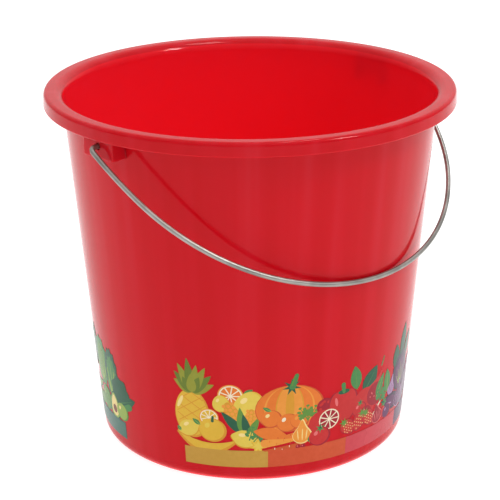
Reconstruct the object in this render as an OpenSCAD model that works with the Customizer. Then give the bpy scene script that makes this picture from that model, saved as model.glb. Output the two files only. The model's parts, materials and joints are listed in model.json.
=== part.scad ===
// Plastic sand bucket with a wire bail and two printed panels.
// Millimetres. The origin is on the floor, at the centre of the foot ring. +Z is up.
// The bail turns about an axis along X and hangs at rest against the front (-Y) wall.

/* [Bucket] */
// Outer diameter of the rim at its top
rim_d = 225; // [215:1:235]
// Height from the floor to the top of the rim
height = 200; // [190:1:210]
// Diameter of the outer wall where its cone meets the floor
base_d = 170.8; // [160:0.2:175]
// Diameter of the outer wall just under the skirt
neck_d = 204.6; // [202:0.2:206]
// Thickness of the wall
wall_t = 1.5; // [1.2:0.1:2]
// Thickness of the floor and of the step at its edge
floor_t = 2; // [1.6:0.1:2.4]
// Outer radius where the wall turns into the foot ring
corner_r = 7; // [5:0.5:8]
// Outer radius of the raised middle of the underside
recess_r = 73; // [60:1:75]
// Height of the raised middle of the underside above the floor
recess_h = 2.5; // [1:0.5:4]

/* [Rim] */
// Height of the turned-down skirt, from the top of the rim
skirt_h = 7.8; // [6:0.2:9]
// Outward lean of the skirt, from the top of the rim to the skirt's lower edge
skirt_flare = 0.4; // [0:0.1:0.6]
// Thickness of the rim and its skirt
rim_t = 1.6; // [1.2:0.1:2]
// Outer rounding where the rim turns down into the skirt
rim_edge_r = 2.3; // [1.8:0.1:3]
// Rounding from the inner wall onto the top of the rim
mouth_r = 6; // [4:0.5:7]

/* [Lugs] */
// Distance from the bucket's axis to the flat outer face of a lug
lug_face = 110.2; // [108:0.2:110.2]
// Width of a lug
lug_w = 22.4; // [16:0.2:23]
// Height of a lug's open lower edge above the floor
lug_z = 182.2; // [178:0.2:184]
// Thickness of a lug's walls
lug_t = 2; // [1.5:0.1:2.5]
// Height of the pivot holes above the floor
pivot_z = 188.5; // [187:0.5:189]
// Diameter of the pivot holes
hole_d = 3.8; // [3.4:0.1:4.2]

/* [Bail] */
// Diameter of the wire
wire_d = 2.8; // [2.4:0.1:3]
// Swing of the resting bail forward from straight down, in degrees
rest_angle = 52.2; // [52.2:0.1:60]
// Depth of the bail's lowest point below the pivot axis, in the bail's own plane
bow_depth = 122.9; // [122.5:0.1:124]
// Radius of the bow across the middle
bow_r = 123; // [121:0.5:125]
// Offset of the bow's middle towards the right lug, from the play in the holes
bow_shift = 2.5; // [2.3:0.1:2.8]
// Radius of the left shoulder
left_r = 107.7; // [107.5:0.1:108.5]
// Radius of the straighter arm above the left shoulder
left_arm_r = 225; // [215:5:240]
// Radius of the right shoulder
right_r = 98; // [96:0.5:100]
// Angle from the bow's middle to the start of the left shoulder
left_start = 29; // [27:1:31]
// Angle from the bow's middle to the end of the left shoulder
left_stop = 77; // [75:1:78]
// Angle from the bow's middle to the start of the right shoulder
right_start = 50; // [45:1:55]
// Radius of the bend from the left arm into its leg
left_bend_r = 3.2; // [3:0.1:4]
// Radius of the bend from the right arm into its leg
right_bend_r = 4.2; // [3.5:0.1:4.5]
// Distance from the bucket's axis to the tip of each leg, inside the lug
tip_x = 103.5; // [103.2:0.1:105]

/* [Printed panels] */
// Sweep of each panel round the wall, in degrees
print_sweep = 163; // [120:0.2:165]
// Turn of the panels towards the right lug, from square to the front
print_turn = 8; // [-7:0.2:9]
// Height of the lower edge of the panels
print_z0 = 8.5; // [8:0.5:12]
// Height of the upper edge of the panels
print_z1 = 79; // [60:1:90]
// Thickness of a printed film
print_t = 0.15; // [0.1:0.05:0.3]

/* [Hidden] */
$fn = 96;

skirt_z = height - skirt_h;                          // lower edge of the skirt
skirt_low_r = rim_d / 2 + skirt_flare;               // outer radius of the skirt's lower edge
hood_z = height - rim_t;                             // underside of the rim
slope = (neck_d - base_d) / 2 / skirt_z;             // outward lean of the wall
lean = atan(slope);
wall_dr = wall_t / cos(lean);                        // wall thickness measured level
reach = 20;                                          // cutters run past the solid by this much
round_step = 15;                                     // largest turn of one cone band in a rounding
sides = 16;                                          // flats round the bow's wire
middle_steps = 16;                                   // steps along the bow's middle
arm_steps = 12;                                      // steps along each shoulder and arm
bend_steps = 6;                                      // steps round each bend
leg_lap = 1;                                         // length of the bow that lies inside a leg
bow_wire_r = wire_d / 2 - 0.01;                      // a little under the leg's radius

// Outer radius of the wall at a height
function wall_r(z) = base_d / 2 + slope * z;

// A direction of length 1, and a direction turned by an angle.
function unit(v) = v / norm(v);
function turned(v, a) = [v[0] * cos(a) - v[1] * sin(a), v[0] * sin(a) + v[1] * cos(a)];
// Points round one corner of an outline, on an arc of radius r that touches both of its edges.
function rounded(before, here, after, r) =
    let (
        a = unit(before - here),
        b = unit(after - here),
        half = acos(a * b) / 2,
        c = here + unit(a + b) * r / sin(half),
        spoke = here + a * r / tan(half) - c,
        turn = -sign(cross(a, b)) * (180 - 2 * half),
        steps = ceil(abs(turn) / round_step)
    ) [for (i = [0:steps]) c + turned(spoke, turn * i / steps)];
// Points of an outline given by its corners, each [radius, height, rounding].
function outline(corners) =
    let (n = len(corners), at = [for (c = corners) [c[0], c[1]]])
    [for (i = [0:n - 1])
        each corners[i][2] == 0 ? [at[i]]
            : rounded(at[(i + n - 1) % n], at[i], at[(i + 1) % n], corners[i][2])];

// Wall, foot ring, raised underside and rim with its hanging skirt, before the inside is cut out.
module shell() {
    rotate_extrude() polygon(outline([
        [0, recess_h, 0],
        [recess_r, recess_h, 0],
        [recess_r, 0, 0],
        [wall_r(0), 0, corner_r],
        [wall_r(hood_z), hood_z, mouth_r - wall_t],
        [rim_d / 2 - rim_t, hood_z, 0],
        [skirt_low_r - rim_t, skirt_z, 0],
        [skirt_low_r, skirt_z, 0],
        [rim_d / 2, height, rim_edge_r],
        [0, height, 0]
    ]));
}

// The inside of the bucket, from the floor with its raised middle up past the rounded mouth.
module inside() {
    rotate_extrude() polygon(outline([
        [0, recess_h + floor_t, 0],
        [recess_r + floor_t, recess_h + floor_t, 0],
        [recess_r + floor_t, floor_t, 0],
        [wall_r(floor_t) - wall_dr, floor_t, corner_r - wall_t],
        [wall_r(height) - wall_dr, height, mouth_r],
        [rim_d / 2 + reach, height, 0],
        [rim_d / 2 + reach, height + reach, 0],
        [0, height + reach, 0]
    ]));
}

// One lug on the +X side: a box against the wall, open below, with a round hole in its face.
module lug() {
    back = wall_r(lug_z) - reach;
    difference() {
        translate([back, -lug_w / 2, lug_z]) cube([lug_face - back, lug_w, hood_z - lug_z]);
        translate([back - 1, -lug_w / 2 + lug_t, lug_z - 1])
            cube([lug_face - lug_t - back + 1, lug_w - 2 * lug_t, hood_z - lug_z + 1]);
        translate([lug_face - lug_t - 1, 0, pivot_z]) rotate([0, 90, 0])
            cylinder(d = hole_d, h = lug_t + 2);
    }
}

module bucket_body() {
    color([0.80, 0.04, 0.08])
        difference() {
            union() {
                shell();
                lug();
                mirror([1, 0, 0]) lug();
            }
            inside();
        }
}

// The bow's centre line lies in one plane, as points [across, below the pivot axis].
// Angles are measured from straight down, positive towards the side being drawn.
function arc_point(c, r, a) = c + r * [sin(a), cos(a)];
// Centre of an arc of radius r that runs on smoothly at angle a from a larger one of radius from_r.
function next_centre(c, from_r, r, a) = c + (from_r - r) * [sin(a), cos(a)];
// Centre of a bend of radius bend that leads from an arm round into a level leg on the pivot axis.
function bend_centre(c, r, bend) = [c[0] + sqrt(pow(r - bend, 2) - pow(bend - c[1], 2)), bend];
// Stations along an arc, each [point, direction], leaving out the first, which the piece before has.
function arc_stations(c, r, a, b, steps) =
    [for (i = [1:steps]) let (t = a + (b - a) * i / steps) [arc_point(c, r, t), t]];
// Stations from angle start up an arm of centre c, round its bend, then a last one buried in the leg.
function arm_stations(c, r, start, bend) =
    let (b = bend_centre(c, r, bend), stop = 90 - atan2(b[1] - c[1], b[0] - c[0])) concat(
        arc_stations(c, r, start, stop, arm_steps),
        arc_stations(b, bend, stop, 180, bend_steps),
        [[b - [leg_lap, bend], 180]]
    );
// The same stations seen in a mirror, in reverse order, so that both sides make one line.
function mirrored(stations) =
    [for (i = [len(stations) - 1:-1:0]) let (s = stations[i]) [[-s[0][0], s[0][1]], -s[1]]];
// One ring of the wire's surface about a station.
function ring(s) =
    [for (k = [0:sides - 1]) let (q = 360 * k / sides, p = arc_point(s[0], bow_wire_r * cos(q), s[1]))
        [p[0], bow_wire_r * sin(q), -p[1]]];

middle = [bow_shift, bow_depth - bow_r];             // centre of the arc across the middle
right = next_centre(middle, bow_r, right_r, right_start);
left = next_centre([-bow_shift, middle[1]], bow_r, left_r, left_start);
left_arm = next_centre(left, left_r, left_arm_r, left_stop);

// The bow, as one tube swept along its arcs.
module bow() {
    stations = concat(
        mirrored(arm_stations(left_arm, left_arm_r, left_stop, left_bend_r)),
        mirrored(arc_stations(left, left_r, left_start, left_stop, arm_steps)),
        [[arc_point(middle, bow_r, -left_start), -left_start]],
        arc_stations(middle, bow_r, -left_start, right_start, middle_steps),
        arm_stations(right, right_r, right_start, right_bend_r)
    );
    last = len(stations) - 1;
    walls = [for (i = [0:last - 1], k = [0:sides - 1]) let (j = (k + 1) % sides)
        [i * sides + k, (i + 1) * sides + k, (i + 1) * sides + j, i * sides + j]];
    polyhedron(
        points = [for (s = stations, p = ring(s)) p],
        faces = concat([[for (k = [0:sides - 1]) k]], walls, [[for (k = [sides - 1:-1:0]) last * sides + k]])
    );
}

// The straight leg that turns in a lug, on the +X side.
module leg(inner_end) {
    translate([tip_x, 0, 0]) rotate([0, 90, 0]) cylinder(d = wire_d, h = inner_end - tip_x);
}

module wire_bail() {
    color([0.62, 0.62, 0.60])
        translate([0, 0, pivot_z]) rotate([-rest_angle, 0, 0]) {
            bow();
            leg(bend_centre(right, right_r, right_bend_r)[0]);
            mirror([1, 0, 0]) leg(bend_centre(left_arm, left_arm_r, left_bend_r)[0]);
        }
}

// One printed film, lying on the wall's cone and centred on the direction `facing`.
module print_panel(facing) {
    rotate([0, 0, facing - print_sweep / 2])
        rotate_extrude(angle = print_sweep)
            polygon([
                [wall_r(print_z0), print_z0],
                [wall_r(print_z0) + print_t, print_z0],
                [wall_r(print_z1) + print_t, print_z1],
                [wall_r(print_z1), print_z1]
            ]);
}

module front_print() {
    color([0.86, 0.62, 0.20]) print_panel(print_turn - 90);
}

module back_print() {
    color([0.86, 0.62, 0.20]) print_panel(print_turn + 90);
}

bucket_body();
wire_bail();
front_print();
back_print();
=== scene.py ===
"""Red plastic sand bucket with a wire bail and two printed panels of fruit and vegetables."""

import json
import math

import bmesh
import bpy
from mathutils import Matrix, Vector


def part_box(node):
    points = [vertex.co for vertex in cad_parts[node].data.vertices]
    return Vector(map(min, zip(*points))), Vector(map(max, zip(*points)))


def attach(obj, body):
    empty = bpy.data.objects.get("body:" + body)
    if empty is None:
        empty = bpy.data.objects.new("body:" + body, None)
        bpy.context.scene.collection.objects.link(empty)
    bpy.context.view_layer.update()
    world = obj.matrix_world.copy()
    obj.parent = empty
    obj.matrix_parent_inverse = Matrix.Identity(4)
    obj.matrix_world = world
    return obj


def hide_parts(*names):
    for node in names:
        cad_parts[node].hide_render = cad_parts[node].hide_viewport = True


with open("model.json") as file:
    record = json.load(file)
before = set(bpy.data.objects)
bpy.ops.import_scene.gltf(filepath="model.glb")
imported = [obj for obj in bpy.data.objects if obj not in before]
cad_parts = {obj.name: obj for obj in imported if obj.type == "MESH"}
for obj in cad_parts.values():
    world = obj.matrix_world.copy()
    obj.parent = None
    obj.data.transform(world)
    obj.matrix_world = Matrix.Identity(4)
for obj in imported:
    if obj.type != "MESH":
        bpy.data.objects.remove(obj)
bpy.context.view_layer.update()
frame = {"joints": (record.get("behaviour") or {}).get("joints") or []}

# ---------------------------------------------------------------- sizes, in millimetres
MM = 0.001
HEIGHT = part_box("bucket_body")[1].z / MM
PIVOT_Z = frame["joints"][0]["pos_m"][2] / MM
RIM_R = 112.5
WALL_T = 1.5
FLOOR_T = 2.0
CORNER_R = 7.0
RECESS_R, RECESS_H = 73.0, 2.5
SKIRT_H = 7.8
SKIRT_R = 112.9             # the skirt leans outward towards its lower edge
MOUTH_R = 6.0
RIM_T = 1.6
BASE_R, NECK_R = 85.4, 102.3

SKIRT_Z = HEIGHT - SKIRT_H
HOOD_Z = HEIGHT - RIM_T
SLOPE = (NECK_R - BASE_R) / SKIRT_Z
LEAN = math.atan(SLOPE)
WALL_DR = WALL_T / math.cos(LEAN)

LUG_FACE = 110.2
LUG_W = 22.4
LUG_Z = 182.2
LUG_T = 2.0
LUG_CORNER, LUG_INNER_CORNER = 0.7, 0.5
LUG_FILLET, LUG_INNER_FILLET = 0.25, 0.5
LUG_EDGE = 0.45             # rounding of the lug's lower edge
LUG_BURIED = 0.6            # how far the lug's walls run into the bucket's wall
HOLE_D = 3.8
HOLE_FLARE = 0.25

WIRE_R = 1.38
REST_ANGLE = math.radians(52.2)
BOW_DEPTH, BOW_R, BOW_SHIFT = 122.9, 123.0, 2.5
ARMS = {                    # arcs up each side after the middle one: radius, start
    1: [(98.0, math.radians(50))],
    -1: [(107.7, math.radians(29)), (225.0, math.radians(77))],
}
BEND_R = {1: 4.2, -1: 3.2}
TIP_X = 103.5
CUT_END = [(0, 0.55), (0.08, 0.84), (0.3, 1.0)]     # along from the tip, and the share of the wire's radius

AROUND = 240                # steps round the bucket


def wall_r(z):
    """Outer radius of the wall at a height."""
    return BASE_R + SLOPE * z


# ---------------------------------------------------------------- small tools
def linear(r, g, b):
    """A colour given as 0 to 255 display values, as the linear values that shaders take."""
    def one(v):
        v /= 255
        return v / 12.92 if v <= 0.04045 else ((v + 0.055) / 1.055) ** 2.4
    return one(r), one(g), one(b), 1.0


def add_object(name, verts, faces, materials=(), smooth=True):
    """A mesh object from points in millimetres."""
    mesh = bpy.data.meshes.new(name)
    mesh.from_pydata([Vector(v) * MM for v in verts], [], faces)
    for m in materials:
        mesh.materials.append(m)
    mesh.validate()
    obj = bpy.data.objects.new(name, mesh)
    bpy.context.scene.collection.objects.link(obj)
    if smooth:
        mesh.shade_smooth()
    return obj


def rounded_line(corners, step=9):
    """Points along a line with rounded corners. Each corner is (x, y, radius).
    Straight stretches get a point close to each end and others between, so that they shade flat."""
    step = math.radians(step)
    pieces = []
    last = len(corners) - 1
    for i, (x, y, r) in enumerate(corners):
        here = Vector((x, y))
        if i in (0, last) or r <= 0:
            pieces.append([here])
            continue
        back = (Vector(corners[i - 1][:2]) - here).normalized()
        on = (Vector(corners[i + 1][:2]) - here).normalized()
        half = back.angle(on) / 2
        centre = here + (back + on).normalized() * r / math.sin(half)
        start = here + back * r / math.tan(half)
        turn = (start - centre).angle_signed(here + on * r / math.tan(half) - centre)
        n = max(3, math.ceil(abs(turn) / step))
        spoke = start - centre
        pieces.append([centre + Matrix.Rotation(-turn * k / n, 2) @ spoke for k in range(n + 1)])
    line = list(pieces[0])
    for piece in pieces[1:]:
        a, b = line[-1], piece[0]
        run = (b - a).length
        near = min(0.35, run / 4)
        inner = max(1, round(run / 7))
        shares = [near / run] + [k / inner for k in range(1, inner)] + [1 - near / run]
        line += [a.lerp(b, s) for s in shares if run > 0.8]
        line += piece
    return line


def revolve(profile, around):
    """Points and faces of a profile of (radius, height) turned about Z. A radius of 0 is a pole."""
    verts, rows = [], []
    for r, z in profile:
        if r < 1e-6:
            rows.append([len(verts)] * around)
            verts.append((0, 0, z))
            continue
        rows.append(list(range(len(verts), len(verts) + around)))
        verts += [(r * math.cos(a), r * math.sin(a), z)
                  for a in (2 * math.pi * k / around for k in range(around))]
    faces = []
    for low, high in zip(rows, rows[1:]):
        for k in range(around):
            j = (k + 1) % around
            corners = [low[k], low[j], high[j], high[k]]
            faces.append(list(dict.fromkeys(corners)))
    return verts, faces


# ---------------------------------------------------------------- bucket body
def bucket_profile():
    """The moulding's section, from the middle of the underside round to the middle of the floor."""
    inner = wall_r(0) - WALL_DR
    step_r = RECESS_R + FLOOR_T
    return rounded_line([
        (0, RECESS_H, 0),
        (RECESS_R - 1.0, RECESS_H, 1.0),
        (RECESS_R + 0.3, 0, 0.8),
        (wall_r(0), 0, CORNER_R),
        (wall_r(HOOD_Z), HOOD_Z, MOUTH_R - WALL_T),
        (RIM_R - RIM_T, HOOD_Z, 0.9),
        (SKIRT_R - RIM_T + 0.1, SKIRT_Z, 0.7),
        (SKIRT_R, SKIRT_Z, 0.75),
        (RIM_R, HEIGHT, 2.3),
        (inner + SLOPE * HEIGHT, HEIGHT, MOUTH_R),
        (inner + SLOPE * FLOOR_T, FLOOR_T, CORNER_R - WALL_T),
        (step_r + 0.6, FLOOR_T, 0.7),
        (step_r - 0.7, FLOOR_T + RECESS_H, 0.9),
        (0, FLOOR_T + RECESS_H, 0),
    ])


def outside_r(z):
    """Radius of the moulding's outside at a height, up through the rounding under the rim."""
    centre_z = HEIGHT - MOUTH_R
    if z <= centre_z:
        return wall_r(z)
    centre_r = wall_r(centre_z) - WALL_DR + MOUTH_R / math.cos(LEAN)
    return centre_r - math.sqrt(max((MOUTH_R - WALL_T) ** 2 - (z - centre_z) ** 2, 0))


def lug_plan(z, inset, fillet):
    """Half of a lug's plan at a height, from inside the wall out to the middle of its face.
    inset is 0 for the outside and the wall thickness for the inside of the box."""
    side = LUG_W / 2 - inset
    face = LUG_FACE - inset
    r = outside_r(min(z, HOOD_Z))
    away = 1 if inset == 0 else -1                  # the fillet spreads away from the lug's own wall
    cy = side + away * fillet
    cx = math.sqrt((r + fillet) ** 2 - cy ** 2)
    on_wall = math.atan2(cy, cx)
    foot = Vector((math.cos(on_wall), math.sin(on_wall))) * r
    buried = foot * ((r - LUG_BURIED) / r)
    points = [buried]
    start = math.pi + on_wall
    stop = 1.5 * math.pi if away > 0 else math.pi / 2
    for k in range(6):
        a = start + (stop - start) * k / 5
        points.append(Vector((cx + fillet * math.cos(a), cy + fillet * math.sin(a))))
    corner = LUG_CORNER if inset == 0 else LUG_INNER_CORNER
    for k in range(3):
        points.append(Vector((cx, side)).lerp(Vector((face - corner, side)), (k + 1) / 4))
    for k in range(6):
        a = math.pi / 2 * (1 - k / 5)
        points.append(Vector((face - corner + corner * math.cos(a), side - corner + corner * math.sin(a))))
    for k in range(1, 5):
        points.append(Vector((face, (side - corner) * (1 - k / 4))))
    return points


def lug_mesh():
    """One lug on the +X side: a box open below, running into the wall with small fillets."""
    edge = LUG_EDGE
    outer_levels = [HOOD_Z + 0.4, 198, 197.2, 196, 194.5, SKIRT_Z, 189.5, 186, LUG_Z + 1.2]
    rounding = [math.radians(a) for a in (0, 30, 60, 90)]
    rows = [(z, 0.0) for z in outer_levels]
    rows += [(LUG_Z + edge * (1 - math.sin(a)), edge * (1 - math.cos(a))) for a in rounding]
    rows += [(LUG_Z + edge * (1 - math.cos(a)), LUG_T - edge * (1 - math.sin(a))) for a in rounding]
    rows += [(z, LUG_T) for z in reversed(outer_levels)]
    verts, faces = [], []
    count = None
    for z, inset in rows:
        share = inset / LUG_T
        outside, inside = lug_plan(z, 0.0, LUG_FILLET), lug_plan(z, LUG_T, LUG_INNER_FILLET)
        half = [a.lerp(b, share) for a, b in zip(outside, inside)]
        plan = half + [Vector((p.x, -p.y)) for p in reversed(half[:-1])]
        count = len(plan)
        verts += [(p.x, p.y, z) for p in plan]
    n = len(rows)
    for i in range(n):
        j = (i + 1) % n
        for k in range(count - 1):
            faces.append([i * count + k, i * count + k + 1, j * count + k + 1, j * count + k])
    faces.append([i * count for i in range(n)])
    faces.append([i * count + count - 1 for i in reversed(range(n))])
    return verts, faces


def hole_cutter():
    """A cutter for a pivot hole, widening a little at both faces of the lug."""
    mid = LUG_FACE - LUG_T / 2
    half, past, reach = LUG_T / 2, LUG_T / 2 + 0.02, 3
    r, wide = HOLE_D / 2, HOLE_D / 2 + HOLE_FLARE
    profile = [(0, mid - reach), (wide, mid - reach), (wide, mid - past)]
    profile += [(r, mid - half + HOLE_FLARE), (r, mid + half - HOLE_FLARE)]
    profile += [(wide, mid + past), (wide, mid + reach), (0, mid + reach)]
    verts, faces = revolve(profile, 40)
    return [(z, -y, PIVOT_Z + x) for x, y, z in verts], faces


def bucket_body(material):
    """The one-piece moulding: wall, floor and rim turned about Z, with a lug on either side."""
    cutter = add_object("cutter", *hole_cutter())
    parts = []
    for side in (1, -1):
        lug = add_object(f"lug{side}", *lug_mesh())
        cut = lug.modifiers.new("hole", "BOOLEAN")
        cut.operation, cut.solver, cut.object = "DIFFERENCE", "EXACT", cutter
        bpy.context.view_layer.update()
        mesh = bpy.data.meshes.new_from_object(lug.evaluated_get(bpy.context.evaluated_depsgraph_get()))
        if side < 0:
            mesh.transform(Matrix.Rotation(math.pi, 4, "Z"))
        parts.append(mesh)
        bpy.data.objects.remove(lug)
    bpy.data.objects.remove(cutter)
    body = add_object("bucket_moulding", *revolve(bucket_profile(), AROUND))
    bm = bmesh.new()
    bm.from_mesh(body.data)
    for mesh in parts:
        bm.from_mesh(mesh)
        bpy.data.meshes.remove(mesh)
    bmesh.ops.recalc_face_normals(bm, faces=bm.faces)
    bm.to_mesh(body.data)
    bm.free()
    body.data.materials.append(material)
    body.data.shade_smooth()
    body.data.set_sharp_from_angle(angle=math.radians(40))
    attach(body, "bucket")
    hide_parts("bucket_body")
    return body


# ---------------------------------------------------------------- wire bail
def bail_side(side):
    """Centre line of one half of the bail, from the middle of the bow to the tip of the leg,
    as points (across, below the axis) in the bail's own plane."""
    c = Vector((side * BOW_SHIFT, BOW_DEPTH - BOW_R))
    r, start = BOW_R, 0.0
    arcs = []
    for next_r, turn in ARMS[side]:
        arcs.append((c, r, start, turn, 1.6))
        c = c + (r - next_r) * Vector((math.sin(turn), math.cos(turn)))
        r, start = next_r, turn
    bend_r = BEND_R[side]
    bend = Vector((c.x + math.sqrt((r - bend_r) ** 2 - (bend_r - c.y) ** 2), bend_r))
    stop = math.pi / 2 - math.atan2(bend.y - c.y, bend.x - c.x)
    arcs += [(c, r, start, stop, 1.6), (bend, bend_r, stop, math.pi, 0.45)]
    points = []
    for centre, radius, a, b, step in arcs:
        n = math.ceil(radius * (b - a) / step)
        points += [centre + radius * Vector((math.sin(t), math.cos(t)))
                   for t in (a + (b - a) * k / n for k in range(n))]
    leg = math.ceil((bend.x - TIP_X) / 0.8)
    points += [Vector((bend.x + (TIP_X - bend.x) * k / leg, 0)) for k in range(leg + 1)]
    return points


def wire_bail(material):
    """The wire, swept round its centre line, with its cut ends slightly rounded."""
    left, right = bail_side(-1), bail_side(1)
    path = [Vector((-p.x, p.y)) for p in reversed(left)] + right[1:]
    sides = 20
    rings, along = [], 0.0
    for i, p in enumerate(path):
        before, after = path[max(i - 1, 0)], path[min(i + 1, len(path) - 1)]
        t = (after - before).normalized()
        along += (p - path[i - 1]).length if i else 0.0
        rings.append((p, Vector((t.y, -t.x)), WIRE_R, along))
    ends = []
    for (p, n, r, s), inward in ((rings[0], 1), (rings[-1], -1)):
        t = Vector((-n.y, n.x)) * inward
        ends.append([(p + t * d, n, r * w, s + d * inward) for d, w in CUT_END])
    rings = ends[0] + rings[1:-1] + ends[1][::-1]
    tilt = Matrix.Translation((0, 0, PIVOT_Z)) @ Matrix.Rotation(-REST_ANGLE, 4, "X")
    verts, faces, uvs = [], [], []
    for p, n, r, s in rings:
        for k in range(sides):
            a = 2 * math.pi * k / sides
            q = p + n * r * math.cos(a)
            verts.append(tilt @ Vector((q.x, r * math.sin(a), -q.y)))
    for i in range(len(rings) - 1):
        for k in range(sides):
            j = (k + 1) % sides
            faces.append([i * sides + k, i * sides + j, (i + 1) * sides + j, (i + 1) * sides + k])
            s0, s1 = rings[i][3] * MM * 10, rings[i + 1][3] * MM * 10
            uvs += [(s0, k / sides), (s0, (k + 1) / sides), (s1, (k + 1) / sides), (s1, k / sides)]
    for i in (0, len(rings) - 1):
        cap = [i * sides + k for k in range(sides)]
        faces.append(cap if i else cap[::-1])
        uvs += [(rings[i][3] * MM * 10, k / sides) for k in range(sides)]
    wire = add_object("bail_wire", verts, faces, [material])
    layer = wire.data.uv_layers.new(name="along")
    for loop, uv in zip(layer.data, uvs):
        loop.uv = uv
    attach(wire, "bail")
    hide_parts("wire_bail")
    return wire


# ---------------------------------------------------------------- printed panels
PRINT_R = 87.0              # radius at which the artwork is laid out flat
BLOCK_W, BLOCK_LOW, BLOCK_HIGH = 45.8, 10.0, 20.3
PANEL_START = {"front": math.radians(-160), "back": math.radians(20)}     # left end, from +X
COLUMN = 2.0                # the artwork bends with the wall once per column
FILM_LOW, INK_LOW, INK_HIGH = 0.008, 0.02, 0.14     # heights above the wall

INKS = {
    "yellow_block": (196, 150, 62), "yellow": (222, 178, 58), "lemon": (224, 196, 80),
    "gold": (214, 150, 45), "pale": (240, 214, 140),
    "orange_block": (205, 82, 45), "orange": (226, 120, 45), "amber": (232, 150, 60), "rust": (200, 85, 40),
    "red_block": (203, 66, 76), "red": (196, 44, 44), "crimson": (160, 28, 44), "pink": (225, 110, 110),
    "purple_block": (88, 52, 84), "plum": (96, 40, 84), "aubergine": (62, 38, 66), "lilac": (170, 130, 170),
    "green_block": (66, 112, 98), "green": (74, 134, 74), "leaf": (98, 142, 62),
    "dark_green": (40, 92, 66), "lime": (150, 176, 76), "olive": (146, 148, 52), "moss": (106, 124, 46),
    "cream": (238, 226, 196), "brown": (132, 78, 44),
}


class Art:
    """Flat shapes in drawing order, each an ink and its outline, in millimetres along and up the wall."""

    def __init__(self):
        self.shapes = []

    def put(self, ink_name, outline, x=0.0, z=0.0, tilt=0.0):
        """Adds an outline turned by tilt degrees, counter-clockwise, and moved to a place."""
        a = math.radians(tilt)
        c, s = math.cos(a), math.sin(a)
        self.shapes.append((ink_name, [(x + u * c - v * s, z + u * s + v * c) for u, v in outline]))


def spaced(steps, stop=1.0):
    return [stop * k / steps for k in range(steps)]


def oval(rx, rz, narrow=0.0, steps=32):
    """An oval about its middle; narrow above 0 draws its top in, below 0 its bottom."""
    return [(rx * math.cos(a) * (1 - narrow * math.sin(a)), rz * math.sin(a))
            for a in spaced(steps, 2 * math.pi)]


def pointed(rx, rz, tip, steps=48):
    """An oval with a small point at its left and right ends."""
    return [((rx + tip * abs(math.cos(a)) ** 16) * math.cos(a), rz * math.sin(a))
            for a in spaced(steps, 2 * math.pi)]


def drop(r, tip, steps=36):
    """A round bulb whose top is drawn up to a point at the height tip."""
    return [(r * math.cos(a) * (1 - 0.35 * max(math.sin(a), 0)), r * math.sin(a)
             + (tip - r) * max(math.sin(a), 0) ** 9) for a in spaced(steps, 2 * math.pi)]


def blade(length, width, belly=0.5, steps=12):
    """A leaf standing on its base: pointed at both ends, widest at the share belly of its length."""
    power = math.log(0.5) / math.log(belly)
    side = [(width / 2 * math.sin(math.pi * (k / steps) ** power) ** 0.85, length * k / steps)
            for k in range(1, steps)]
    return [(0, 0)] + side + [(0, length)] + [(-x, z) for x, z in reversed(side)]


def hook(length, sag, width, steps=18):
    """A curved pod lying along x: its middle is lower than its ends by sag, and as thick as width."""
    low, high = sag + width / 2, sag - width / 2
    share = [k / steps for k in range(steps + 1)]
    under = [(length * (t - 0.5), -4 * low * t * (1 - t)) for t in share]
    over = [(length * (t - 0.5), -4 * high * t * (1 - t)) for t in reversed(share[1:-1])]
    return under + over


def rod(length, low, high, steps=6):
    """A tapering bar standing on its base, with rounded ends of the widths low and high."""
    base = [(low / 2 * math.cos(a), low / 2 * math.sin(a)) for a in
            (math.pi + math.pi * k / steps for k in range(steps + 1))]
    top = [(high / 2 * math.cos(a), length + high / 2 * math.sin(a)) for a in
           (math.pi * k / steps for k in range(steps + 1))]
    return base + top


def wavy(rx, rz, lobes, depth, steps=72):
    """An oval with a frilled edge."""
    points = []
    for a in spaced(steps, 2 * math.pi):
        swell = 1 + depth * math.cos(lobes * a)
        points.append((rx * math.cos(a) * swell, rz * math.sin(a) * swell))
    return points


def star(points, tip, dip):
    """A star about its middle, with one point up."""
    return [((tip if k % 2 == 0 else dip) * math.sin(math.pi * k / points),
             (tip if k % 2 == 0 else dip) * math.cos(math.pi * k / points)) for k in range(2 * points)]


def segment(r, start, stop, hub, steps=6):
    """One segment of a citrus slice, from the distance hub out to r."""
    mid = math.radians((start + stop) / 2)
    edge = [math.radians(start + (stop - start) * k / steps) for k in range(steps + 1)]
    return [(hub * math.cos(mid), hub * math.sin(mid))] + [(r * math.cos(a), r * math.sin(a)) for a in edge]


def veined_leaf(art, x, z, length, width, tilt, ink_name="green", vein="lime", belly=0.45):
    art.put(ink_name, blade(length, width, belly), x, z, tilt)
    art.put(vein, rod(length * 0.8, 0.5, 0.15), x, z, tilt)


def citrus_slice(art, x, z, r, rind, flesh):
    art.put(rind, oval(r, r), x, z)
    art.put("cream", oval(r * 0.9, r * 0.9), x, z)
    for k in range(9):
        art.put(flesh, segment(r * 0.8, 40 * k + 3.5, 40 * k + 36.5, r * 0.12), x, z)


def round_fruit(art, x, z, rx, rz, ink_name, shade, glow, narrow=0.0, tilt=0.0):
    """A rounded fruit: shaded edge, body and a glow at its upper left."""
    art.put(shade, oval(rx, rz, narrow), x, z, tilt)
    art.put(ink_name, oval(rx * 0.9, rz * 0.92, narrow), x - rx * 0.08, z + rz * 0.05, tilt)
    art.put(glow, oval(rx * 0.17, rz * 0.24), x - rx * 0.38, z + rz * 0.38, tilt - 30)


def lemon(art, x, z, rx, rz, tilt, ink_name="lemon"):
    art.put("gold", pointed(rx, rz, rx * 0.2), x, z - 0.3, tilt)
    art.put(ink_name, pointed(rx * 0.96, rz * 0.94, rx * 0.18), x, z + 0.2, tilt)
    art.put("pale", oval(rx * 0.3, rz * 0.2), x - rx * 0.2, z + rz * 0.45, tilt + 12)


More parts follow.
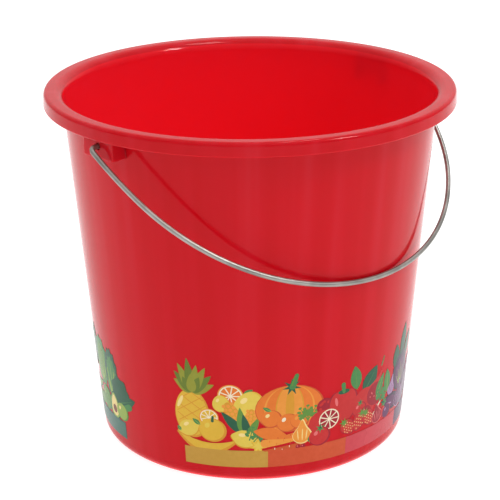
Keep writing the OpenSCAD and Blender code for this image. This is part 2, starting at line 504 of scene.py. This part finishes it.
def herb(art, x, z, height, tilt, ink_name="green", pairs=4):
    """A stem with round leaflets in pairs and one at its end."""
    a = math.radians(tilt)
    art.put(ink_name, rod(height, 0.7, 0.4), x, z, tilt)
    for k in range(pairs + 1):
        up = height * (0.35 + 0.65 * k / pairs)
        size = height * (0.17 - 0.02 * k)
        for side in ((-1, 1) if k < pairs else (0,)):
            u = side * size * 1.5
            art.put(ink_name, oval(size, size * 0.7), x + u * math.cos(a) - up * math.sin(a),
                    z + u * math.sin(a) + up * math.cos(a), tilt + side * 35)


def pineapple(art, x, z):
    """A tall oval fruit with a crossed pattern and a crown of blades."""
    rx, rz = 9.8, 14.8
    art.put("gold", oval(rx, rz, 0.08), x, z)
    art.put("yellow", oval(rx * 0.93, rz * 0.95, 0.08), x - 0.4, z + 0.3)
    for way in (1, -1):
        for k in range(-3, 4):
            far = k * 5.2
            lean_by = math.radians(35 * way)
            c, s = math.cos(lean_by), math.sin(lean_by)
            qa = (c / rx) ** 2 + (s / rz) ** 2
            qb = far * s * c * (1 / rz ** 2 - 1 / rx ** 2) * 2
            qc = (far * s / rx) ** 2 + (far * c / rz) ** 2 - 0.72
            root = qb * qb - 4 * qa * qc
            if root <= 0:
                continue
            t0, t1 = (-qb - math.sqrt(root)) / (2 * qa), (-qb + math.sqrt(root)) / (2 * qa)
            art.put("gold", rod(t1 - t0, 0.55, 0.55), x + t0 * c - far * s, z + t0 * s + far * c,
                    math.degrees(lean_by) - 90)
    art.put("pale", oval(1.0, 4.0), x - rx * 0.66, z + rz * 0.42, -24)
    top = z + rz * 0.86
    crown = [("olive", 56, 12), ("olive", -64, 13.5), ("moss", 40, 15), ("moss", -44, 15.5),
             ("olive", 24, 18), ("olive", -26, 17.5), ("moss", 6, 20.5), ("olive", -10, 17),
             ("moss", 30, 10), ("moss", -24, 10.5), ("olive", 2, 11)]
    for shade, tilt, length in crown:
        art.put(shade, blade(length, 5.4, 0.35), x + 0.6, top, tilt)


def corn_cob(art, x, z, length, tilt):
    art.put("gold", oval(length * 0.2, length * 0.5), x, z, tilt)
    a = math.radians(tilt)
    for k in range(-3, 4):
        for j in (-1, 0, 1):
            u, v = j * length * 0.115, k * length * 0.125 + (0.8 if j else 0)
            art.put("amber", oval(length * 0.05, length * 0.052), x + u * math.cos(a) - v * math.sin(a),
                    z + u * math.sin(a) + v * math.cos(a), tilt)
    low = (x + length * 0.52 * math.sin(a), z - length * 0.52 * math.cos(a))
    art.put("dark_green", blade(length * 0.85, length * 0.26, 0.4), *low, tilt + 17)
    art.put("leaf", blade(length * 0.8, length * 0.24, 0.4), *low, tilt - 19)


def pumpkin(art, x, z):
    art.put("rust", oval(18.6, 14.2), x, z)
    for wide, shade in ((17.9, "orange"), (13.6, "amber"), (12.6, "orange"), (7.6, "gold"), (6.9, "amber"),
                        (2.3, "gold")):
        art.put(shade, oval(wide, 13.9 if wide > 2.5 else 12.5), x - 0.3, z + 0.1)
    art.put("dark_green", star(7, 5.2, 2.0), x + 0.5, z + 13.1)
    art.put("green", rod(7, 3.4, 2.2), x + 0.8, z + 13, -18)
    art.put("leaf", rod(5.5, 1.0, 0.6), x + 0.4, z + 14, -18)


def bulb(art, x, z, r, tip, skin, line, tilt=0.0):
    """An onion: a bulb with lines that run up to its tip."""
    art.put(line, drop(r, tip), x, z, tilt)
    art.put(skin, drop(r * 0.9, tip * 0.93), x - r * 0.05, z, tilt)
    a = math.radians(tilt)
    for u, long in ((-0.45, 1.1), (0.0, 1.3), (0.42, 1.1)):
        art.put(line, oval(r * 0.05, r * long / 2), x + u * r * math.cos(a), z + u * r * math.sin(a),
                tilt - 14 * u)


def tomato(art, x, z, r):
    round_fruit(art, x, z, r, r * 0.9, "red", "crimson", "pink")
    art.put("green", star(6, r * 0.5, r * 0.16), x, z + r * 0.78)
    art.put("dark_green", rod(r * 0.3, 0.9, 0.7), x, z + r * 0.8)


def strawberry(art, x, z, r, tilt):
    a = math.radians(tilt)
    art.put("crimson", oval(r, r * 1.25, -0.32), x, z, tilt)
    art.put("red", oval(r * 0.92, r * 1.17, -0.32), x - r * 0.04, z + r * 0.04, tilt)
    for k in range(-2, 3):
        for j in range(-2, 3):
            u, v = (j + 0.5 * (k % 2)) * r * 0.36, k * r * 0.4 - r * 0.1
            if (u / (r * (0.78 + 0.26 * v / r))) ** 2 + (v / (r * 1.0)) ** 2 < 0.95:
                art.put("pale", oval(0.26, 0.42), x + u * math.cos(a) - v * math.sin(a),
                        z + u * math.sin(a) + v * math.cos(a), tilt)
    art.put("leaf", star(7, r * 0.75, r * 0.25), x - r * 1.12 * math.sin(a), z + r * 1.12 * math.cos(a), tilt)


def sweet_pepper(art, x, z, r):
    for u, shade in ((-0.5, "crimson"), (0.52, "crimson"), (-0.38, "red"), (0.4, "red"), (0.0, "red")):
        art.put(shade, oval(r * 0.58, r * 1.05, -0.12), x + u * r, z)
    art.put("pink", oval(r * 0.1, r * 0.3), x - r * 0.5, z + r * 0.35, 12)
    art.put("dark_green", oval(r * 0.42, r * 0.16), x, z + r * 0.95)
    art.put("green", rod(r * 0.5, r * 0.22, r * 0.3), x, z + r * 0.95, 8)


def aubergine(art, x, z, length, tilt):
    a = math.radians(tilt)
    art.put("aubergine", oval(length * 0.26, length * 0.5, 0.3), x, z, tilt)
    art.put("plum", oval(length * 0.17, length * 0.4, 0.3), x - length * 0.04, z, tilt)
    art.put("lilac", oval(length * 0.025, length * 0.16), x - length * 0.1, z - length * 0.05, tilt + 4)
    top = (x - length * 0.46 * math.sin(a), z + length * 0.46 * math.cos(a))
    art.put("green", star(6, length * 0.17, length * 0.08), *top, tilt)
    art.put("dark_green", rod(length * 0.14, 1.3, 1.0), *top, tilt)


def avocado(art, x, z, tall):
    art.put("dark_green", oval(tall * 0.34, tall * 0.5, 0.3), x, z)
    art.put("lime", oval(tall * 0.29, tall * 0.45, 0.3), x, z)
    art.put("pale", oval(tall * 0.23, tall * 0.38, 0.3), x, z)
    art.put("brown", oval(tall * 0.14, tall * 0.15), x, z - tall * 0.12)


def grapes(art, x, z, r, body="plum", glow="lilac"):
    """A hanging bunch in rows that get shorter downward."""
    for row, count in enumerate((4, 5, 4, 3, 2, 1)):
        for k in range(count):
            u, v = (k - (count - 1) / 2) * r * 1.75, -row * r * 1.45
            art.put(body, oval(r, r, 0, 18), x + u, z + v)
            art.put(glow, oval(r * 0.24, r * 0.3, 0, 10), x + u - r * 0.35, z + v + r * 0.3)


def leafy_head(art, x, z, rx, rz, lobes, dark, light):
    """A head of leaves: frilled outline, lighter heart and a fan of veins."""
    art.put(dark, wavy(rx, rz, lobes, 0.055), x, z)
    art.put(light, wavy(rx * 0.72, rz * 0.78, lobes, 0.06), x, z - rz * 0.08)
    for tilt in (-38, -19, 0, 19, 38):
        art.put("lime", rod(rz * (1.25 - abs(tilt) / 80), 0.9, 0.25), x, z - rz * 0.8, tilt)


def pea_pod(art, x, z, length, tilt):
    art.put("green", hook(length, length * 0.12, length * 0.26), x, z, tilt)
    a = math.radians(tilt)
    for k in range(-2, 3):
        u = k * length * 0.155
        v = -length * 0.12 * (1 - (2 * u / length) ** 2)
        art.put("lime", oval(length * 0.072, length * 0.072, 0, 16), x + u * math.cos(a) - v * math.sin(a),
                z + u * math.sin(a) + v * math.cos(a))


def carrot(art, x, z, length, width, tilt, ink_name, mark):
    """A root lying with its thick end at (x, z) and its tip away from it."""
    art.put(ink_name, rod(length, width, width * 0.22), x, z, tilt)
    a = math.radians(tilt)
    for k in range(4):
        v = length * (0.12 + 0.2 * k)
        u = width * (0.24 if k % 2 else -0.2) * (1 - 0.6 * v / length)
        art.put(mark, oval(width * 0.16, 0.22, 0, 10), x + u * math.cos(a) - v * math.sin(a),
                z + u * math.sin(a) + v * math.cos(a), tilt)


def block(art, ink_name):
    """The plain colour block under a group."""
    art.put(ink_name, [(0, BLOCK_LOW), (BLOCK_W, BLOCK_LOW), (BLOCK_W, BLOCK_HIGH), (0, BLOCK_HIGH)])


def yellow_group(art):
    pineapple(art, 5.4, 41)
    citrus_slice(art, 26.4, 53.5, 6.8, "amber", "orange")
    veined_leaf(art, 33.2, 55, 5.5, 2.4, -62)
    round_fruit(art, 36.5, 47.5, 8.4, 9.2, "lemon", "yellow", "pale", 0.18, -14)
    round_fruit(art, 21.4, 48.6, 4.6, 5.2, "lemon", "yellow", "pale", 0.12)
    corn_cob(art, 28.2, 40.5, 20, 24)
    corn_cob(art, 36.4, 37.5, 17, -6)
    citrus_slice(art, 14.6, 39.6, 5.3, "amber", "yellow")
    art.put("gold", hook(35, 7.0, 7.4), 13, 27.4, -4)
    art.put("yellow", hook(33, 6.6, 5.4), 13, 28.0, -4)
    lemon(art, 2.8, 31.5, 5.8, 5.0, 24)
    veined_leaf(art, -1.8, 29, 3.4, 2.2, 30, "green")
    round_fruit(art, 16.4, 32.0, 7.6, 7.2, "yellow", "gold", "lemon")
    art.put("dark_green", rod(2.6, 1.6, 1.2), 16.4, 37.6, -6)
    veined_leaf(art, 9.6, 34.6, 5.2, 2.6, 52)
    lemon(art, 33.5, 27.6, 6.6, 5.4, -16)
    for x, z, tilt in ((37.5, 25, -38), (38.5, 28.5, -66), (36, 27, -14)):
        herb(art, x, z, 8.0, tilt, "green", 3)
    art.put("yellow", star(7, 5.0, 2.6), 40.5, 23.2)
    art.put("lemon", star(7, 3.4, 1.8), 40.5, 23.2)
    block(art, "yellow_block")


def orange_group(art):
    pumpkin(art, 11.8, 45)
    art.put("orange", pointed(7.5, 3.6, 1.5), 1.2, 30.5, -12)
    round_fruit(art, 1.8, 39.5, 5.6, 5.4, "orange", "rust", "pale", 0.0, -10)
    veined_leaf(art, 1.5, 44.2, 5.0, 2.2, 60)
    round_fruit(art, 10.6, 36.4, 6.0, 5.7, "orange", "rust", "cream")
    round_fruit(art, 17.0, 37.0, 5.2, 4.8, "orange", "rust", "amber")
    for tilt in (-28, 2, 30):
        herb(art, 21.5, 36.5, 9.0, tilt, "leaf", 3)
    carrot(art, 17.5, 28.8, 17, 4.2, 98, "orange", "rust")
    carrot(art, -1.5, 24.6, 19, 5.0, -86, "amber", "orange")
    carrot(art, 18.0, 21.6, 20, 4.2, 94, "rust", "cream")
    round_fruit(art, 31.2, 43.0, 5.0, 5.0, "crimson", "crimson", "red")
    for k in range(7):
        art.put("red", oval(0.9, 0.8), 31.2 + 3.0 * math.cos(0.9 * k), 43 + 3.0 * math.sin(0.9 * k))
    art.put("red", oval(7.5, 8.0), 29.5, 33.0)
    bulb(art, 18.6, 28.2, 5.6, 9.6, "amber", "pale")
    veined_leaf(art, 23.0, 22.8, 3.6, 2.0, 10)
    for x in (16.4, 19.2):
        art.put("crimson", oval(1.4, 1.4), x, 21.0)
        art.put("pink", oval(0.35, 0.35), x - 0.4, 21.4)
    block(art, "orange_block")


def red_group(art):
    veined_leaf(art, 5.5, 48, 15, 7.5, 10, "green", "leaf")
    veined_leaf(art, 10.5, 44, 17, 10, -34, "dark_green", "green")
    art.put("red", hook(19, 4.5, 4.6), 17.5, 50.5, 32)
    art.put("green", rod(5.0, 1.0, 0.8), 24.2, 56.4, -18)
    sweet_pepper(art, -3.4, 40.8, 8.8)
    citrus_slice(art, -11.8, 34.6, 6.8, "red", "crimson")
    tomato(art, -17.0, 25.2, 6.4)
    art.put("red", oval(9.0, 9.5), 12.0, 37.5)
    art.put("crimson", oval(6.5, 7.0), 20.0, 40.5)
    for k in range(9):
        art.put("pink", oval(0.35, 0.5), 20.0 + 4 * math.cos(1.7 * k), 40.5 + 0.55 * k - 2)
    tomato(art, 8.5, 34.8, 5.0)
    veined_leaf(art, 21.5, 38, 14, 5.5, -22, "green", "lime")
    for tilt in (-30, -4):
        herb(art, 25, 33, 10, tilt, "green", 3)
    round_fruit(art, 13.6, 31.0, 5.0, 4.6, "crimson", "red", "pink")
    strawberry(art, 1.0, 26.0, 4.3, 40)
    strawberry(art, 8.6, 27.2, 4.6, -24)
    strawberry(art, 16.2, 27.0, 4.3, 34)
    art.put("cream", rod(9.0, 1.6, 0.8), 20.5, 27.5, -40)
    art.put("green", rod(7.0, 0.8, 1.6), 26.0, 34.0, -28)
    bulb(art, 24.0, 25.6, 4.8, 8.0, "crimson", "pink", 12)
    tomato(art, 33.5, 26.0, 5.6)
    round_fruit(art, 42.0, 25.6, 5.4, 5.2, "red", "crimson", "pink")
    block(art, "red_block")


def purple_group(art):
    for x, z, length, tilt in ((-4.5, 45, 18, 6), (1.0, 48, 25, -7), (6.5, 46, 20, -22)):
        veined_leaf(art, x, z, length, 8.0, tilt, "dark_green", "plum", 0.55)
    leafy_head(art, 2.5, 44, 10.5, 11.5, 9, "aubergine", "plum")
    veined_leaf(art, -13.5, 37, 15, 6.5, 8, "green", "lime")
    bulb(art, -9.0, 37.5, 4.4, 9.0, "lilac", "plum", -8)
    aubergine(art, -7.5, 29.0, 19, 74)
    round_fruit(art, -12.0, 24.5, 4.4, 4.2, "plum", "crimson", "lilac")
    aubergine(art, 13.5, 31.5, 24, -30)
    grapes(art, 26.0, 44.0, 2.7)
    bulb(art, 3.5, 27.5, 6.4, 11.0, "plum", "lilac")
    round_fruit(art, 34.5, 29.0, 6.4, 7.2, "plum", "aubergine", "lilac", 0.25)
    round_fruit(art, 42.5, 27.5, 5.6, 6.4, "aubergine", "plum", "lilac", 0.25, -12)
    veined_leaf(art, 36.0, 36.0, 12, 6.0, -14, "dark_green", "leaf")
    round_fruit(art, 24.5, 25.2, 5.2, 4.8, "lilac", "plum", "cream")
    block(art, "purple_block")


def green_group(art):
    for x, z, length, tilt in ((3.5, 40, 25, 12), (9.0, 42, 27, -6), (15.0, 40, 24, -14)):
        veined_leaf(art, x, z, length, 8.5, tilt, "dark_green", "green", 0.6)
    leafy_head(art, 22.0, 50.0, 9.5, 14.5, 11, "green", "leaf")
    leafy_head(art, 35.6, 46.0, 7.6, 16.0, 13, "dark_green", "green")
    for x, tilt in ((33.5, 8), (37.0, -6)):
        art.put("lime", rod(17, 1.6, 0.5), x, 32, tilt)
    art.put("dark_green", wavy(8.5, 9.0, 7, 0.07), 43.5, 38.5)
    veined_leaf(art, 44.0, 32.0, 14.5, 6.5, -68, "dark_green", "green")
    art.put("green", rod(12, 3.2, 4.0), 41.5, 26.5, -62)
    pea_pod(art, 10.0, 33.5, 18, 14)
    avocado(art, 35.5, 27.5, 17)
    round_fruit(art, 24.5, 28.0, 7.0, 7.4, "leaf", "green", "lime")
    round_fruit(art, 44.0, 26.4, 5.8, 5.4, "lime", "leaf", "pale")
    round_fruit(art, 3.0, 27.0, 6.5, 6.8, "green", "dark_green", "lime", 0.2)
    art.put("leaf", pointed(8.5, 3.4, 1.4), 14.0, 24.2, 6)
    block(art, "green_block")


def wrapped(x, z, above, start):
    """The place on the wall of a point of the artwork, at a height above the surface.
    Between columns the artwork is flat, so that shapes drawn over each other never cross."""
    k = math.floor(x / COLUMN)
    r = wall_r(z) + above

    def on_column(i):
        a = start + i * COLUMN / PRINT_R
        return Vector((r * math.cos(a), r * math.sin(a), z + above * math.sin(-LEAN)))

    return on_column(k).lerp(on_column(k + 1), x / COLUMN - k)


def cut_flat(outline):
    """An outline as a flat mesh: its points and faces, cut along the columns."""
    bm = bmesh.new()
    face = bm.faces.new([bm.verts.new((x, z, 0)) for x, z in outline])
    face.normal_update()
    bmesh.ops.triangulate(bm, faces=[face], ngon_method="EAR_CLIP")
    low, high = min(x for x, z in outline), max(x for x, z in outline)
    for k in range(math.ceil(low / COLUMN), math.floor(high / COLUMN) + 1):
        bmesh.ops.bisect_plane(bm, geom=bm.verts[:] + bm.edges[:] + bm.faces[:], dist=1e-5,
                               plane_co=(k * COLUMN, 0, 0), plane_no=(1, 0, 0))
    bm.normal_update()
    if sum(f.normal.z * f.calc_area() for f in bm.faces) < 0:
        bmesh.ops.reverse_faces(bm, faces=bm.faces)
    bm.verts.index_update()
    points = [(v.co.x, v.co.y) for v in bm.verts]
    faces = [[v.index for v in f.verts] for f in bm.faces]
    rim = [(e.link_loops[0].vert.index, e.link_loops[0].link_loop_next.vert.index)
           for e in bm.edges if e.is_boundary]
    bm.free()
    return points, faces, rim


def print_piece(name, plates, start, inks):
    """Printed plates, each (ink, height, points, faces, rim), as one piece on the wall."""
    verts, faces, slots, normals = [], [], [], []
    used = []
    for ink_name, above, points, cells, rim in plates:
        if ink_name not in used:
            used.append(ink_name)
        slot = used.index(ink_name)
        top = len(verts)
        for height in (above, FILM_LOW):
            verts += [wrapped(x, z, height, start) for x, z in points]
            turns = [start + x / PRINT_R for x, z in points]
            normals += [Vector((math.cos(a), math.sin(a), -SLOPE)).normalized() for a in turns]
        low = top + len(points)
        faces += [[top + i for i in cell] for cell in cells]
        faces += [[low + i for i in reversed(cell)] for cell in cells]
        faces += [[top + j, top + i, low + i, low + j] for i, j in rim]
        slots += [slot] * (2 * len(cells) + len(rim))
    mesh = bpy.data.meshes.new(name)
    mesh.from_pydata([v * MM for v in verts], [], faces)
    for ink_name in used:
        mesh.materials.append(inks[ink_name])
    mesh.polygons.foreach_set("material_index", slots)
    mesh.shade_smooth()
    mesh.normals_split_custom_set_from_vertices(normals)
    obj = bpy.data.objects.new(name, mesh)
    bpy.context.scene.collection.objects.link(obj)
    return obj


def printed_panels():
    """Two alike panels, each with five groups of fruit and vegetables over blocks of their colour."""
    inks = {name: ink(name) for name in INKS}
    groups = {"yellow": yellow_group, "orange": orange_group, "red": red_group, "purple": purple_group,
              "green": green_group}
    drawn = {}
    for name, draw in groups.items():
        art = Art()
        draw(art)
        drawn[name] = [(ink_name, *cut_flat(outline)) for ink_name, outline in art.shapes]
    total = sum(len(shapes) for shapes in drawn.values())
    for panel, start in PANEL_START.items():
        order = 0
        for k, (name, shapes) in enumerate(drawn.items()):
            plates = []
            for ink_name, points, cells, rim in shapes:
                above = INK_LOW + (INK_HIGH - INK_LOW) * order / total
                plates.append((ink_name, above, points, cells, rim))
                order += 1
            piece = print_piece(f"{panel}_{name}_print", plates, start + k * BLOCK_W / PRINT_R, inks)
            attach(piece, "bucket")
            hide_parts(f"{panel}_print")


# ---------------------------------------------------------------- materials
def new_material(name):
    """A node material: returns it with its shader and a function that adds linked nodes."""
    mat = bpy.data.materials.new(name)
    mat.use_nodes = True
    nodes, links = mat.node_tree.nodes, mat.node_tree.links

    def add(kind, inputs=None, **values):
        node = nodes.new(kind)
        for key, value in values.items():
            setattr(node, key, value)
        for key, value in (inputs or {}).items():
            if isinstance(value, bpy.types.NodeSocket):
                links.new(value, node.inputs[key])
            else:
                node.inputs[key].default_value = value
        return node

    return mat, nodes["Principled BSDF"], add, links.new


def noise(add, where, scale, detail=2.0, stretch=(1, 1, 1), rough=0.5):
    """Noise from 0 to 1 at a number of waves per metre, stretched along an axis if asked."""
    spread = add("ShaderNodeMapping", {"Vector": where, "Scale": stretch})
    return add("ShaderNodeTexNoise", {"Vector": spread.outputs[0], "Scale": scale, "Detail": detail,
                                      "Roughness": rough}).outputs["Fac"]


def ramp(add, value, low, high, start=0.0, stop=1.0):
    """Value taken from between low and high to between start and stop, smoothly and clamped."""
    limits = {"Value": value, "From Min": low, "From Max": high, "To Min": start, "To Max": stop}
    return add("ShaderNodeMapRange", limits, interpolation_type="SMOOTHSTEP").outputs[0]


def maths(add, op, a, b=0.0, c=0.0):
    return add("ShaderNodeMath", {0: a, 1: b, 2: c}, operation=op).outputs[0]


def mixed(add, share, a, b):
    return add("ShaderNodeMix", {0: share, 6: a, 7: b}, data_type="RGBA").outputs[2]


def red_plastic():
    """Glossy red polypropylene, slightly translucent, painted duller outside than inside (painted shade
    outside, painted glow inside), painted darker over the mouth's rounding as painted shade, with soft
    streaks and a little haze down the outside as painted sheen."""
    mat, shader, add, link = new_material("red_plastic")
    where = add("ShaderNodeTexCoord").outputs["Object"]
    cloud = noise(add, where, 9, 3)
    fine = noise(add, where, 60, 3)
    place = add("ShaderNodeSeparateXYZ", {0: where}).outputs
    across = maths(add, "ADD", maths(add, "MULTIPLY", place[0], place[0]),
                   maths(add, "MULTIPLY", place[1], place[1]))
    middle = maths(add, "MULTIPLY_ADD", place[2], SLOPE, (BASE_R - WALL_T / 2) * MM)
    # Mask of the outside surface: it takes the darker colour as painted shade, and the inside takes a painted
    # glow.
    outside = ramp(add, maths(add, "SUBTRACT", maths(add, "SQRT", across), middle), -0.4 * MM, 0.4 * MM)
    # Painted shade: the mouth's rounding takes part of the outside's darker colour.
    mouth_painted_shade = ramp(add, place[2], 193.0 * MM, 197.0 * MM, 0.0, 0.35)
    level = add("ShaderNodeCombineXYZ", {0: place[0], 1: place[1]}).outputs[0]
    round_wall = add("ShaderNodeVectorMath", {0: level}, operation="NORMALIZE").outputs[0]
    drawn = add("ShaderNodeVectorMath", {0: round_wall, 1: where}, operation="ADD").outputs[0]
    # Soft vertical bands down the wall, painted sheen: they shade the outside's colour and mask the pale
    # haze.
    streak_and_sheen = noise(add, drawn, 6.5, 2.0, (1, 1, 0.4))
    # The outside's colour, painted darker than the inside as painted shade.
    outside_shade_and_sheen = mixed(add, ramp(add, streak_and_sheen, 0.35, 0.65), linear(197, 12, 25), linear(202, 17, 32))
    # A pale pink haze over the outside, stronger higher up: a painted sheen standing in for a reflection.
    sheen_by_height = ramp(add, place[2], 60 * MM, 180 * MM, 0.01, 0.08)
    painted_sheen = maths(add, "MULTIPLY", ramp(add, streak_and_sheen, 0.5, 0.75), sheen_by_height)
    outside_shade_and_sheen = mixed(add, painted_sheen, outside_shade_and_sheen, linear(200, 96, 108))
    # The inside's colour, painted brighter as a painted glow of light coming through the wall and bouncing
    # within.
    bright = mixed(add, ramp(add, cloud, 0.35, 0.65), linear(243, 29, 45), linear(246, 32, 49))
    # Painted shade outside and over the mouth, painted glow inside.
    colour = mixed(add, maths(add, "MAXIMUM", outside, mouth_painted_shade), bright, outside_shade_and_sheen)
    link(colour, shader.inputs["Base Color"])
    rough = maths(add, "ADD", ramp(add, fine, 0.3, 0.7, 0.08, 0.11), ramp(add, cloud, 0.4, 0.7, 0.0, 0.02))
    link(rough, shader.inputs["Roughness"])
    waves = noise(add, where, 14, 1.5)
    ripple = noise(add, where, 45, 2.0)
    height = maths(add, "ADD", maths(add, "MULTIPLY", waves, 0.0006), maths(add, "MULTIPLY", ripple, 0.00004))
    bump = add("ShaderNodeBump", {"Height": height, "Strength": 0.35, "Distance": 1.0})
    link(bump.outputs[0], shader.inputs["Normal"])
    shader.inputs["IOR"].default_value = 1.49
    shader.inputs["Specular IOR Level"].default_value = 0.13
    shader.inputs["Subsurface Weight"].default_value = 0.5
    shader.inputs["Subsurface Radius"].default_value = (0.004, 0.0008, 0.0006)
    shader.inputs["Subsurface Scale"].default_value = 1.0
    return mat


def galvanised_wire():
    """Dull zinc-coated steel wire, with fine lines along it from drawing and a faint spangle."""
    mat, shader, add, link = new_material("galvanised_wire")
    along = add("ShaderNodeUVMap", uv_map="along").outputs[0]
    where = add("ShaderNodeTexCoord").outputs["Object"]
    streak_and_sheen = noise(add, along, 6, 3, (1, 9, 1))
    spot = noise(add, where, 900, 3)
    patch = noise(add, where, 90, 2)
    shade = maths(add, "ADD", maths(add, "MULTIPLY", streak_and_sheen, 0.5), maths(add, "MULTIPLY", patch, 0.5))
    colour = mixed(add, ramp(add, shade, 0.35, 0.65), linear(128, 126, 121), linear(174, 171, 165))
    link(colour, shader.inputs["Base Color"])
    link(ramp(add, streak_and_sheen, 0.3, 0.7, 0.3, 0.45), shader.inputs["Roughness"])
    height = maths(add, "ADD", maths(add, "MULTIPLY", streak_and_sheen, 0.00002), maths(add, "MULTIPLY", spot, 0.00001))
    link(add("ShaderNodeBump", {"Height": height, "Strength": 0.6, "Distance": 1.0}).outputs[0],
         shader.inputs["Normal"])
    shader.inputs["Metallic"].default_value = 0.85
    return mat


def floor_material():
    """Matt off-white studio paper, lit a little from below."""
    mat, shader, add, link = new_material("studio_paper")
    where = add("ShaderNodeTexCoord").outputs["Object"]
    grain = noise(add, where, 40, 3)
    link(mixed(add, grain, linear(160, 160, 160), linear(164, 164, 164)), shader.inputs["Base Color"])
    link(ramp(add, grain, 0.2, 0.8, 0.75, 0.85), shader.inputs["Roughness"])
    shader.inputs["Emission Color"].default_value = (1, 1, 1, 1)
    shader.inputs["Emission Strength"].default_value = 0.9
    return mat


def ink(name):
    """Glossy printing ink in one of the colours of the artwork, a little uneven."""
    mat, shader, add, link = new_material(f"ink_{name}")
    where = add("ShaderNodeTexCoord").outputs["Object"]
    cloud = noise(add, where, 35, 3)
    grain = noise(add, where, 420, 2)
    r, g, b = INKS[name]
    dark, light = linear(r - 4, g - 4, b - 4), linear(r + 4, g + 4, b + 4)
    shade = maths(add, "ADD", maths(add, "MULTIPLY", cloud, 0.6), maths(add, "MULTIPLY", grain, 0.4))
    link(mixed(add, ramp(add, shade, 0.3, 0.7), dark, light), shader.inputs["Base Color"])
    link(ramp(add, cloud, 0.3, 0.7, 0.2, 0.28), shader.inputs["Roughness"])
    shader.inputs["IOR"].default_value = 1.49
    shader.inputs["Specular IOR Level"].default_value = 0.2
    return mat


# ---------------------------------------------------------------- set
def studio(floor_mat):
    """A pale floor in front of a bright backdrop, under a soft glow from above."""
    far = 20000
    corners = [(-far, -far, 0), (far, -far, 0), (far, far, 0), (-far, far, 0)]
    floor = add_object("studio_floor", corners, [(0, 1, 2, 3)], [floor_mat], smooth=False)
    world = bpy.data.worlds.new("studio_world")
    world.use_nodes = True
    nodes, links = world.node_tree.nodes, world.node_tree.links
    direction = nodes.new("ShaderNodeTexCoord")
    height = nodes.new("ShaderNodeSeparateXYZ")
    links.new(direction.outputs["Generated"], height.inputs[0])
    overhead = nodes.new("ShaderNodeMapRange")
    links.new(height.outputs["Z"], overhead.inputs["Value"])
    overhead.inputs["To Min"].default_value, overhead.inputs["To Max"].default_value = 0.12, 1.15
    behind = nodes.new("ShaderNodeVectorMath")
    behind.operation = "DOT_PRODUCT"
    links.new(direction.outputs["Generated"], behind.inputs[0])
    behind.inputs[1].default_value = (math.sqrt(0.5), math.sqrt(0.5), 0)
    backdrop = nodes.new("ShaderNodeMapRange")
    backdrop.interpolation_type = "SMOOTHSTEP"
    links.new(behind.outputs["Value"], backdrop.inputs["Value"])
    backdrop.inputs["From Min"].default_value, backdrop.inputs["From Max"].default_value = 0.3, 0.9
    backdrop.inputs["To Max"].default_value = 0.45
    glow = nodes.new("ShaderNodeMath")
    links.new(overhead.outputs[0], glow.inputs[0])
    links.new(backdrop.outputs[0], glow.inputs[1])
    background = nodes["Background"]
    background.inputs["Color"].default_value = (1, 1, 1, 1)
    links.new(glow.outputs[0], background.inputs["Strength"])
    bpy.context.scene.world = world
    bpy.context.scene.view_settings.view_transform = "Standard"


def lamp(name, place, aim, width, depth, watts):
    """A soft rectangular lamp at a place in millimetres, facing another."""
    data = bpy.data.lights.new(name, "AREA")
    data.shape = "RECTANGLE"
    data.size, data.size_y = width * MM, depth * MM
    data.energy = watts
    obj = bpy.data.objects.new(name, data)
    bpy.context.scene.collection.objects.link(obj)
    obj.location = Vector(place) * MM
    obj.rotation_euler = (Vector(aim) - Vector(place)).to_track_quat("-Z", "Y").to_euler()
    return obj


def camera():
    """The view: seen from the front left, from about 20 degrees above."""
    data = bpy.data.cameras.new("view")
    data.lens, data.sensor_width = 130.9, 36.0
    data.clip_start, data.clip_end = 0.05, 50
    cam = bpy.data.objects.new("view", data)
    bpy.context.scene.collection.objects.link(cam)
    azimuth, pitch, yaw, roll = math.radians(-45), 0.35207, -0.000857, -0.0098
    away, height = 964.5, 457.3
    side = Vector((math.cos(azimuth), math.sin(azimuth), 0))
    ahead = Vector((-math.sin(azimuth), math.cos(azimuth), 0))
    level = ahead * math.cos(yaw) + side * math.sin(yaw)
    forward = level * math.cos(pitch) - Vector((0, 0, math.sin(pitch)))
    right = forward.cross(Vector((0, 0, 1))).normalized()
    up = right.cross(forward)
    right, up = right * math.cos(roll) + up * math.sin(roll), up * math.cos(roll) - right * math.sin(roll)
    turn = Matrix((right, up, -forward)).transposed().to_4x4()
    cam.matrix_world = Matrix.Translation((Vector((0, 0, height)) - ahead * away) * MM) @ turn
    bpy.context.scene.camera = cam


# ---------------------------------------------------------------- build
bucket_body(red_plastic())
wire_bail(galvanised_wire())
printed_panels()
studio(floor_material())
rim_centre = (0, 0, HEIGHT)
key_place, top_place = (349, -1166, 1390), (300, -277, 1850)
lamp("key_lamp", key_place, rim_centre, 230, 230, 4.5)
glint = lamp("glint_lamp", key_place, rim_centre, 300, 300, 9.0)
glint.visible_diffuse = False       # adds only to the gloss
lamp("top_lamp", top_place, rim_centre, 500, 300, 4.7)
camera()
